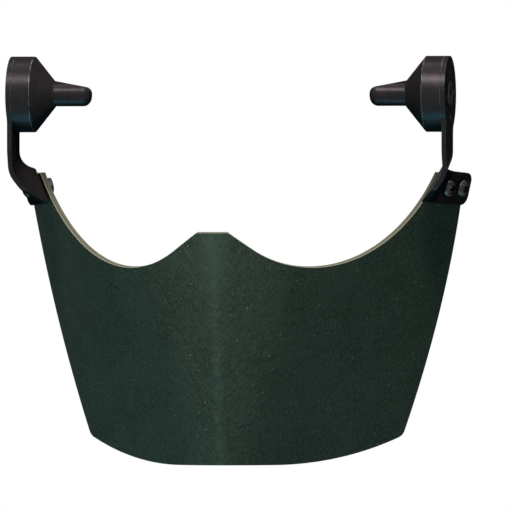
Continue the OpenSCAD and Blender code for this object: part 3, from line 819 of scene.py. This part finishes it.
def cut_tab_holes(piece):
    """Cuts each tab screw's hole, and the seat for its washer in the plate's inner face."""
    hole = (-2 * PLATE_THICKNESS, PLATE_THICKNESS, TAB_SCREW_DIAMETER + 2 * SCREW_HOLE_GAP)
    seat = (WASHER_PLACE - PLATE_THICKNESS, WASHER_PLACE, WASHER_DIAMETER + 2 * SEAT_GAP)
    for side in SIDES.values():
        for place in TAB_SCREWS_AT:
            for below, above, diameter in (hole, seat):
                cutter = hole_cutter(place, below, above, diameter)
                if side < 0:
                    mirror_mesh(cutter.data)
                cut_with(piece, cutter)


def make_jaw_plate():
    """The bent grid given its thickness, eased edges and four holes, with its ply depths stored."""
    piece = bent_grid("jaw_plate_shell")
    dress(piece, PAINT, PLIES)
    apply_modifier(
        piece, "SOLIDIFY", thickness=PLATE_THICKNESS * MM, offset=-1, use_even_offset=False,
        use_rim=True, material_offset_rim=1,
    )
    ease_edges(piece, PLATE_EDGE, PLATE_EDGE_ANGLE)
    cut_tab_holes(piece)
    smooth(piece)
    depth = piece.data.attributes.new("ply_depth", "FLOAT", "POINT")
    for vertex in piece.data.vertices:
        place = vertex.co / MM
        behind = place.y - outer_point(place.x, place.z).y
        lean = -face_normal(place.x, place.z).y
        depth.data[vertex.index].value = behind * lean / PLATE_THICKNESS
    settle(piece, "guard", "jaw_plate")


def from_node(node, name, edge, materials):
    """A copy of a CAD node's mesh, merged, with its flat faces whole again and its edges eased."""
    piece = frame["nodes"][node].copy()
    piece.data = piece.data.copy()
    piece.parent = None
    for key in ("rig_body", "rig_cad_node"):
        del piece[key]
    piece.name = name
    piece.data.name = name
    bpy.context.scene.collection.objects.link(piece)
    only(piece)
    bpy.ops.mesh.customdata_custom_splitnormals_clear()
    edit(piece)
    bpy.ops.mesh.remove_doubles(threshold=MERGE_DISTANCE)
    bpy.ops.mesh.dissolve_limited(angle_limit=radians(LEVEL_ANGLE))
    deselect()
    dress(piece, *materials)
    if edge:
        ease_edges(piece, edge, EDGE_ANGLE, material=1)
    return piece


def make_hub():
    """Turned hub: a short cylinder and a cone, with a keyway beside the pin's bore."""
    rim = EYE_DIAMETER / 2
    mouth = PIN_DIAMETER / 2 + RUNNING_GAP
    piece = turned("left_hub_turned", [
        (mouth, HUB_FACE_X), (HUB_NOSE_DIAMETER / 2, HUB_FACE_X), (rim, HUB_RIM_X), (rim, ARM_X),
        (CHAMBER_DIAMETER / 2, ARM_X), (CHAMBER_DIAMETER / 2, CHAMBER_X), (mouth, CHAMBER_X),
    ])
    dress(piece, BLACK, RUBBED)
    ease_edges(piece, HUB_EDGE, TURNED_EDGE_ANGLE, material=1, segments=3)
    keyway = RIB_WIDTH + 2 * KEY_GAP
    height = RAMP_HEIGHT + KEY_GAP
    middle = HUB_FACE_X + HUB_LAND / 2
    bpy.ops.mesh.primitive_cube_add(size=1, location=(middle * MM, 0, height / 2 * MM))
    through = HUB_LAND + 2 * CUT_MARGIN
    bpy.context.active_object.scale = (through * MM, keyway * MM, height * MM)
    cut_with(piece, new_piece("keyway"))
    return piece


def make_spring_plug():
    """Turned plug: a flange in the hub's chamber, and a neck that comes out through the eye."""
    bore = TAIL_DIAMETER / 2 + RUNNING_GAP
    neck = PLUG_NECK_DIAMETER / 2
    flange = CHAMBER_DIAMETER / 2 - RUNNING_GAP
    piece = turned("left_plug_turned", [
        (bore, PLUG_INNER_X), (flange, PLUG_INNER_X), (flange, ARM_X), (neck, ARM_X),
        (neck, PLUG_FACE_X - PLUG_PROUD), (neck - PLUG_PROUD, PLUG_FACE_X), (bore, PLUG_FACE_X),
    ])
    dress(piece, OILED, RUBBED)
    ease_edges(piece, PLUG_EDGE, TURNED_EDGE_ANGLE, material=1)
    return piece


def pan_head_profile():
    """Stations of a tab screw from its tip to the top of its dome."""
    head = TAB_HEAD_DIAMETER / 2
    shank = TAB_SCREW_DIAMETER / 2
    tip = SHEET - TAB_SCREW_LENGTH
    profile = [
        (shank - TAB_SCREW_CHAMFER, tip), (shank, tip + TAB_SCREW_CHAMFER),
        (shank, SHEET), (head, SHEET),
    ]
    for i in range(DOME_STEPS):
        turn = radians(DOME_END * i / (DOME_STEPS - 1))
        height = mix(HEAD_RIM, TAB_HEAD_HEIGHT, sin(turn))
        profile.append((head * cos(turn) ** DOME_POWER, SHEET + height))
    return profile


def recess_wings(top):
    """The two crossed wedges that cut a cross recess, with their middles at a height."""
    wings = []
    for turn in (0.0, pi / 2):
        bpy.ops.mesh.primitive_cube_add(size=1, location=(0, 0, top * MM))
        scale = (RECESS_LENGTH * MM, RECESS_WIDTH * MM, 2 * RECESS_DEPTH * MM)
        bpy.context.active_object.scale = scale
        wing = new_piece("wing")
        for vertex in wing.data.vertices:
            if vertex.co.z < top * MM:
                vertex.co.x *= RECESS_TAPER[0]
                vertex.co.y *= RECESS_TAPER[1]
        wing.data.transform(Matrix.Rotation(turn, 4, "Z"))
        wings.append(wing)
    return wings


def paint_shade_in_recess(piece):
    """Paints shade and grime on the faces of a tab screw's head that lie below its dome."""
    slot = len(piece.data.materials)
    piece.data.materials.append(RECESS_SHADE_AND_GRIME)
    head = TAB_HEAD_DIAMETER / 2
    for face in piece.data.polygons:
        place = face.center / MM
        level = max(0.0, 1 - (place.xy.length / head) ** (2 / DOME_POWER))
        dome = SHEET + mix(HEAD_RIM, TAB_HEAD_HEIGHT, sqrt(level))
        # painted shade and grime in the cross recess
        if SHEET + TAB_SCREW_CHAMFER < place.z < dome - RECESS_SHADE_DEPTH:
            face.material_index = slot


def make_tab_screws():
    """Pan head with a cross recess on a plain shank, turned once and copied to both places."""
    piece = turned("tab_screw", pan_head_profile(), closed=False, sides=96)
    edit(piece)
    bpy.ops.mesh.select_mode(type="EDGE")
    bpy.ops.mesh.select_all(action="DESELECT")
    bpy.ops.mesh.select_non_manifold()
    bpy.ops.mesh.edge_face_add()
    deselect()
    outward(piece)
    piece.data.transform(Matrix.Rotation(-pi / 2, 4, "Y"))
    dress(piece, DULL, RUBBED)
    for wing in recess_wings(SHEET + TAB_HEAD_HEIGHT):
        cut_with(piece, wing)
    ease_edges(piece, FINE_EDGE, EDGE_ANGLE, material=1)
    paint_shade_in_recess(piece)
    return at_tab_screws(piece, "left_pan_screws", RECESS_TURNS)


def settle_both(left, part, name, body):
    """Names the left piece, mirrors it for the right, and settles both."""
    left.name = "left_" + name
    pieces = {"left": left, "right": mirrored(left, "right_" + name)}
    for side, piece in pieces.items():
        smooth(piece)
        settle(piece, side + "_latch" if body == "latch" else body, side + "_" + part)


make_jaw_plate()
settle_both(make_hub(), "hub_housing", "hub_turned", "guard")
settle_both(make_spring_plug(), "spring_plug", "plug_turned", "guard")
settle_both(make_tab_screws(), "tab_screws", "pan_screws", "guard")
for part, name, body, slot, edge, materials in (
    ("bracket", "bracket_folded", "guard", "blackened_steel", BRACKET_EDGE, (BLACK, RUBBED)),
    ("latch_pin", "pin_turned", "latch", "blackened_steel", FINE_EDGE, (BLACK, BLACK)),
    ("hub_screws", "socket_screws", "guard", "worn_steel", FINE_EDGE, (OILED, RUBBED)),
    ("tab_washers", "flat_washers", "guard", "worn_steel", FINE_EDGE, (DULL, RUBBED)),
    ("nuts", "hexagon_nuts", "guard", "worn_steel", NUT_EDGE, (OILED, DULL)),
):
    left_piece = from_node("left_" + part, "left_" + name, edge, materials)
    settle_both(left_piece, part, name, body)
for side, sign in SIDES.items():
    spring = from_node(side + "_latch_spring", side + "_coil_spring", 0.0, (DULL,))
    smooth(spring, COIL_SMOOTH_ANGLE)
    settle(spring, "guard", side + "_latch_spring")
    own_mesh(spring)


# Studio: a pale floor well below the part, a white surround, two warm lamps, and a teal one below
FLOOR_Z = -1500.0
FLOOR_SIZE = 40000.0
FLOOR_LIFT = 0.8
ROOM_LIGHT = 0.075

# Lamps: name, azimuth, elevation, distance, width, height, power in watts, colour
LAMPS = (
    ("key_lamp", -1, 50, 950, 640, 160, 17, "#fff2ef"),
    ("top_lamp", 0, 108, 1100, 900, 600, 23, "#fff0ee"),
    ("low_lamp", -22, -73, 1350, 1400, 330, 16, "#34d0e8"),
)


def seen_directly(tree):
    """1 for a ray that shows the background itself: from the camera, or mirrored or through glass."""
    path = add(tree, "ShaderNodeLightPath").outputs
    seen = math(tree, "MAXIMUM", path["Is Camera Ray"], path["Is Glossy Ray"])
    return math(tree, "MAXIMUM", seen, path["Is Transmission Ray"])


def make_stage():
    """A floor that looks nearly white and a surround that looks white, both with little light."""
    deselect()
    bpy.ops.mesh.primitive_plane_add(size=FLOOR_SIZE * MM, location=(0, 0, FLOOR_Z * MM))
    floor = new_piece("floor")
    material, tree, shader = new_material("pale_floor")
    fill(tree, shader, {
        "Base Color": linear("#e8e8e6"),
        "Roughness": 0.9,
        "Emission Color": (1, 1, 1, 1),
        "Emission Strength": times(tree, seen_directly(tree), FLOOR_LIFT),
    })
    dress(floor, material)
    world = bpy.data.worlds.new("surround")
    bpy.context.scene.world = world
    world.use_nodes = True
    tree = world.node_tree
    tree.nodes.clear()
    strength = spread(tree, seen_directly(tree), ROOM_LIGHT, 1.0)
    surround = add(tree, "ShaderNodeBackground", {"Color": (1, 1, 1, 1), "Strength": strength})
    add(tree, "ShaderNodeOutputWorld", {"Surface": surround.outputs[0]})


def face_back(placed, back):
    """Turns a lamp or camera so that it looks against the direction back."""
    placed.rotation_mode = "QUATERNION"
    placed.rotation_quaternion = (-back).to_track_quat("-Z", "Y")


def add_lamp(name, azimuth, elevation, distance, width, height, power, colour):
    """A soft lamp that faces the part's middle."""
    a, e = radians(azimuth), radians(elevation)
    back = Vector((sin(a) * cos(e), -cos(a) * cos(e), sin(e)))
    lamp = bpy.data.lights.new(name, "AREA")
    lamp.shape = "RECTANGLE"
    lamp.size = width * MM
    lamp.size_y = height * MM
    lamp.energy = power
    lamp.color = linear(colour)[:3]
    lamp_object = bpy.data.objects.new(name, lamp)
    lamp_object.location = Vector((0, 0, PICTURE_CENTRE_Z * MM)) + back * distance * MM
    face_back(lamp_object, back)
    lamp_object.visible_camera = False
    bpy.context.scene.collection.objects.link(lamp_object)


def make_camera():
    """A distant level camera with a long lens, as the photograph shows almost no perspective."""
    camera = bpy.data.cameras.new("camera")
    camera.sensor_width = SENSOR_WIDTH
    camera.lens = SENSOR_WIDTH * CAMERA_DISTANCE / PICTURE_WIDTH
    camera.clip_start = CAMERA_DISTANCE * MM / 10
    camera.clip_end = CAMERA_DISTANCE * MM * 10
    camera_object = bpy.data.objects.new("camera", camera)
    a = radians(CAMERA_AZIMUTH)
    back = Vector((sin(a), -cos(a), 0))
    right = Vector((cos(a), sin(a), 0))
    aim = PICTURE_CENTRE_RIGHT * right + Vector((0, 0, PICTURE_CENTRE_Z))
    camera_object.location = (aim + CAMERA_DISTANCE * back) * MM
    face_back(camera_object, back)
    bpy.context.scene.collection.objects.link(camera_object)
    bpy.context.scene.camera = camera_object


make_stage()
for lamp_values in LAMPS:
    add_lamp(*lamp_values)
make_camera()
bpy.context.scene.view_settings.view_transform = "Standard"
deselect()
